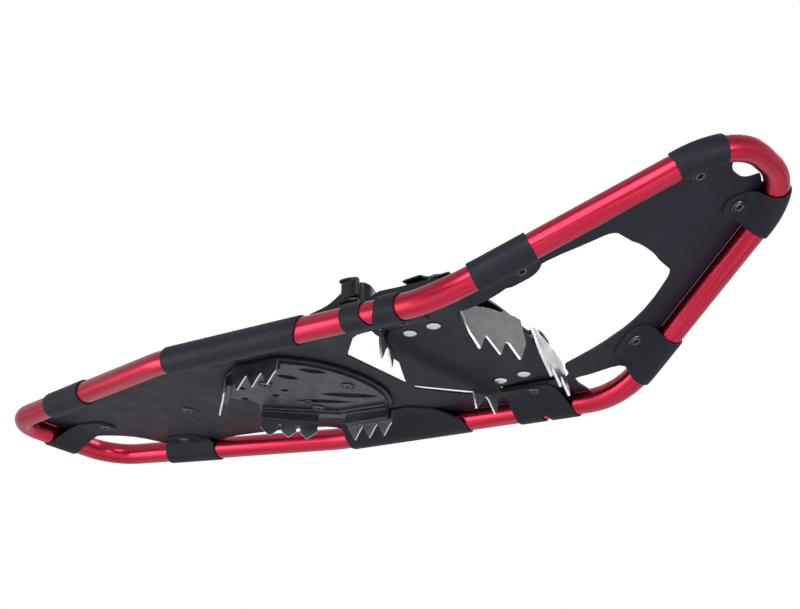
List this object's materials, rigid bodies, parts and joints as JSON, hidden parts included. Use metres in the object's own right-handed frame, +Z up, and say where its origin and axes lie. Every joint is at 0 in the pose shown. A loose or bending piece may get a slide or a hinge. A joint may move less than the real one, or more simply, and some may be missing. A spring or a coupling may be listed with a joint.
{
  "type": "snowshoe",
  "caption": "Tubular-frame snowshoe with a solid deck laced on by wraps, a toothed heel crampon, and a boot binding with a toe crampon that pivots on a springy band.",
  "frame": {"origin": "centre of the bounding box's base, level with the tips of the heel crampon's teeth", "axes": "+X to the wearer's right, +Y towards the raised nose, +Z up from the ground"},
  "size_m": [0.2544, 0.735, 0.139],
  "materials": {
    "frame_tube": "crimson anodised, satin",
    "splice": "bare drawn",
    "deck": "smooth coated sheet, near-black blue-grey",
    "wrap": "smooth coated sheet, black",
    "dark_rivet": "dark plated",
    "bright_rivet": "bright plated",
    "claw_steel": "bare pressed steel",
    "blade_steel": "dark steel, bright at the tooth edges",
    "heel_moulding": "satin moulded, dark grey",
    "grip_pad": "moulded, matt",
    "harness": "matt black",
    "strap": "smooth urethane, black",
    "buckle": "satin black",
    "pin_steel": "plain steel"
  },
  "bodies": {
    "frame": {"deck": "deck", "deck_rivet": "dark_rivet", "deck_tab_left": "wrap", "deck_tab_right": "wrap", "frame_splice": "splice", "frame_tube": "frame_tube", "heel_pad": "grip_pad", "heel_plate": "heel_moulding", "heel_rear_blade_left": "blade_steel", "heel_rear_blade_right": "blade_steel", "heel_screw_1": "dark_rivet", "heel_screw_2": "dark_rivet", "heel_screw_3": "dark_rivet", "heel_side_blade_left": "blade_steel", "heel_side_blade_right": "blade_steel", "nose_wrap_left": "wrap", "nose_wrap_right": "wrap", "nose_wrap_rivet_left": "dark_rivet", "nose_wrap_rivet_right": "dark_rivet", "pivot_strap_left": "wrap", "pivot_strap_right": "wrap", "pivot_strap_rivet_left": "dark_rivet", "pivot_strap_rivet_right": "dark_rivet", "tail_rivet": "dark_rivet", "tail_side_wrap_left": "wrap", "tail_side_wrap_right": "wrap", "tail_side_wrap_rivet_left": "dark_rivet", "tail_side_wrap_rivet_right": "dark_rivet", "tail_wrap": "wrap", "toe_wrap_left": "wrap", "toe_wrap_right": "wrap", "toe_wrap_rivet_left": "dark_rivet", "toe_wrap_rivet_right": "dark_rivet", "waist_wrap_left": "wrap", "waist_wrap_right": "wrap"},
    "binding": {"band_rivet_front_left": "bright_rivet", "band_rivet_front_right": "bright_rivet", "band_rivet_rear_left": "bright_rivet", "band_rivet_rear_right": "bright_rivet", "footbed": "harness", "harness_wing_left": "harness", "harness_wing_right": "harness", "instep_buckle": "buckle", "instep_buckle_pin": "pin_steel", "instep_strap": "strap", "pivot_band": "wrap", "pivot_plate": "deck", "toe_buckle": "buckle", "toe_buckle_pin": "pin_steel", "toe_claw": "claw_steel", "toe_strap": "strap"},
    "heel_strap": {"heel_buckle": "buckle", "heel_buckle_pin": "pin_steel", "heel_strap": "strap"},
    "toe_lever": {"toe_buckle_lever": "buckle"},
    "instep_lever": {"instep_buckle_lever": "buckle"},
    "heel_lever": {"heel_buckle_lever": "buckle"}
  },
  "joints": [
    {"name": "binding_pivot", "type": "hinge", "parent": "frame", "child": "binding", "pos_m": [0, 0.1076, 0.0252], "axis": [1, 0, 0], "range_deg": [-50, 4], "stiffness_Nm_per_rad": 4},
    {"name": "heel_strap_swing", "type": "hinge", "parent": "binding", "child": "heel_strap", "pos_m": [0, 0.07103, 0.05312], "axis": [1, 0, 0], "range_deg": [-34, 3]},
    {"name": "toe_lever_hinge", "type": "hinge", "parent": "binding", "child": "toe_lever", "pos_m": [0.02957, 0.11541, 0.07363], "axis": [0, 0.9962, 0.0872], "range_deg": [-70, 0]},
    {"name": "instep_lever_hinge", "type": "hinge", "parent": "binding", "child": "instep_lever", "pos_m": [0.02776, 0.08671, 0.0804], "axis": [0, 0.9962, 0.0872], "range_deg": [-70, 0]},
    {"name": "heel_lever_hinge", "type": "hinge", "parent": "heel_strap", "child": "heel_lever", "pos_m": [0.06772, 0.0387, 0.06695], "axis": [0, -0.0872, 0.9962], "range_deg": [-70, 0]}
  ]
}
